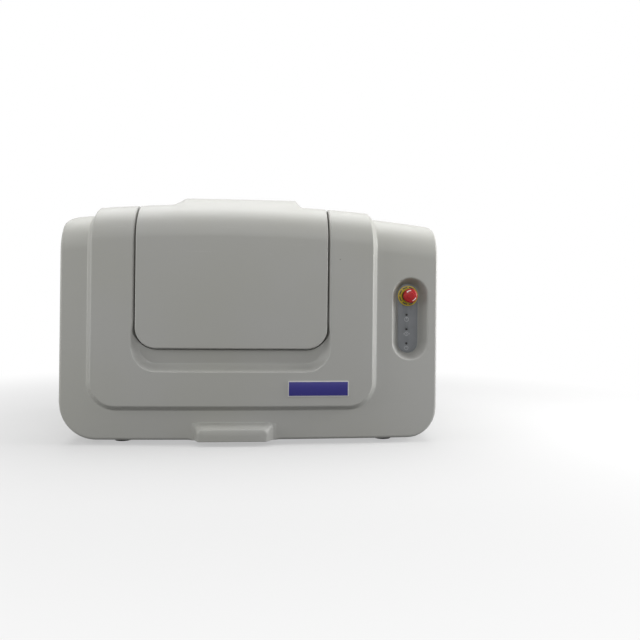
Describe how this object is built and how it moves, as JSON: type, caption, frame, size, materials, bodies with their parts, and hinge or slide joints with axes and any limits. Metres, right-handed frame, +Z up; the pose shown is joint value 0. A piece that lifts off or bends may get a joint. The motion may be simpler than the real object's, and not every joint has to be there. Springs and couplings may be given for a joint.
{
  "type": "bench bioreactor",
  "caption": "Bench rocking bioreactor: a bag tray on a two-axis gimbal with belt drives, under a hinged grey hood with a lift-up door and a stop button.",
  "frame": {"origin": "on the bench, under the middle of the whole machine", "axes": "+Z up, front towards -Y, +X to the right seen from the front"},
  "size_m": [1.028, 0.74, 0.681],
  "materials": {
    "moulding": "satin light grey moulding",
    "zinc_sheet": "zinc plated sheet",
    "aluminium": "satin anodised",
    "steel": "bright ground steel",
    "motor_black": "black enamel",
    "black_plastic": "matt black",
    "black_rubber": "matt black rubber",
    "red_plastic": "glossy red",
    "yellow_plate": "satin yellow",
    "blue_plate": "satin deep blue with a pale rim",
    "grey_panel": "satin blue grey",
    "silicone": "orange silicone",
    "bag_film": "clear film over a pale liquid",
    "white_plastic": "white"
  },
  "bodies": {
    "base": {"base_pan": "zinc_sheet", "foot_1": "black_rubber", "foot_2": "black_rubber", "foot_3": "black_rubber", "foot_4": "black_rubber", "hood_bumper_left": "black_rubber", "hood_bumper_right": "black_rubber", "rear_housing": "moulding", "rear_bulkhead": "zinc_sheet", "mains_inlet": "black_plastic", "gas_port_1": "steel", "gas_port_2": "steel", "power_supply": "aluminium", "pillar_left": "aluminium", "pillar_right": "aluminium", "pitch_bearing_left": "steel", "pitch_bearing_right": "steel", "pitch_motor": "motor_black", "pitch_belt": "black_rubber", "housing_hinge_leaf_left": "zinc_sheet", "housing_hinge_leaf_right": "zinc_sheet"},
    "power_rocker": {"power_rocker": "black_plastic"},
    "pitch_motor_pulley": {"pitch_motor_pulley": "steel"},
    "ring": {"gimbal_ring": "aluminium", "pitch_trunnion_left": "steel", "pitch_trunnion_right": "steel", "pitch_pulley": "aluminium", "roll_bearing_front": "steel", "roll_bearing_rear": "steel", "roll_drive_bracket": "zinc_sheet", "roll_motor": "motor_black", "roll_belt": "black_rubber"},
    "roll_motor_pulley": {"roll_motor_pulley": "steel"},
    "tray": {"tray": "aluminium", "roll_trunnion_front": "steel", "roll_trunnion_rear": "steel", "roll_pulley": "aluminium", "heater_mat": "silicone", "culture_bag": "bag_film", "bag_clamp_left": "aluminium", "bag_clamp_right": "aluminium", "vent_filter": "white_plastic"},
    "hood": {"hood": "moulding", "hood_hinge_leaf_left": "zinc_sheet", "hood_hinge_leaf_right": "zinc_sheet", "door_hinge_left": "steel", "door_hinge_right": "steel", "door_seal": "black_rubber", "control_panel": "grey_panel", "stop_legend_plate": "yellow_plate", "stop_collar": "black_plastic", "stop_contact_block": "black_plastic", "nameplate": "blue_plate"},
    "door": {"door": "moulding"},
    "stop_plunger": {"stop_plunger": "steel"},
    "stop_head": {"stop_head": "red_plastic"},
    "key_1": {"key_1": "black_plastic"},
    "key_2": {"key_2": "black_plastic"},
    "key_3": {"key_3": "black_plastic"}
  },
  "joints": [
    {"name": "hood_lift", "type": "hinge", "parent": "base", "child": "hood", "pos_m": [0, 0.249, 0.672], "axis": [-1, 0, 0], "range_deg": [0, 65]},
    {"name": "door_lift", "type": "hinge", "parent": "hood", "child": "door", "pos_m": [0, -0.07, 0.672], "axis": [-1, 0, 0], "range_deg": [0, 95]},
    {"name": "ring_pitch", "type": "hinge", "parent": "base", "child": "ring", "pos_m": [-0.055, -0.045, 0.28], "axis": [1, 0, 0], "range_deg": [-12, 12]},
    {"name": "tray_roll", "type": "hinge", "parent": "ring", "child": "tray", "pos_m": [-0.055, -0.045, 0.28], "axis": [0, 1, 0], "range_deg": [-15, 15]},
    {"name": "pitch_motor_spin", "type": "hinge", "parent": "base", "child": "pitch_motor_pulley", "pos_m": [0.3, -0.045, 0.1], "axis": [1, 0, 0], "range_deg": [-36, 36]},
    {"name": "roll_motor_spin", "type": "hinge", "parent": "ring", "child": "roll_motor_pulley", "pos_m": [-0.055, 0.19, 0.168], "axis": [0, 1, 0], "range_deg": [-45, 45]},
    {"name": "stop_press", "type": "slide", "parent": "hood", "child": "stop_plunger", "axis": [0, 1, 0], "range_m": [0, 0.004], "stiffness_N_per_m": 1500},
    {"name": "stop_twist", "type": "hinge", "parent": "stop_plunger", "child": "stop_head", "pos_m": [0.436, -0.33, 0.408], "axis": [0, 1, 0], "range_deg": [0, 35], "stiffness_Nm_per_rad": 0.2},
    {"name": "power_switch", "type": "hinge", "parent": "base", "child": "power_rocker", "pos_m": [-0.2845, 0.3503, 0.11], "axis": [1, 0, 0], "range_deg": [0, 12]},
    {"name": "key_1_press", "type": "slide", "parent": "hood", "child": "key_1", "axis": [0, 1, 0], "range_m": [0, 0.0008], "stiffness_N_per_m": 1500},
    {"name": "key_2_press", "type": "slide", "parent": "hood", "child": "key_2", "axis": [0, 1, 0], "range_m": [0, 0.0008], "stiffness_N_per_m": 1500},
    {"name": "key_3_press", "type": "slide", "parent": "hood", "child": "key_3", "axis": [0, 1, 0], "range_m": [0, 0.0008], "stiffness_N_per_m": 1500}
  ],
  "couplings": [
    {"joint": "pitch_motor_spin", "follows": "ring_pitch", "ratio": 3},
    {"joint": "roll_motor_spin", "follows": "tray_roll", "ratio": 3}
  ]
}
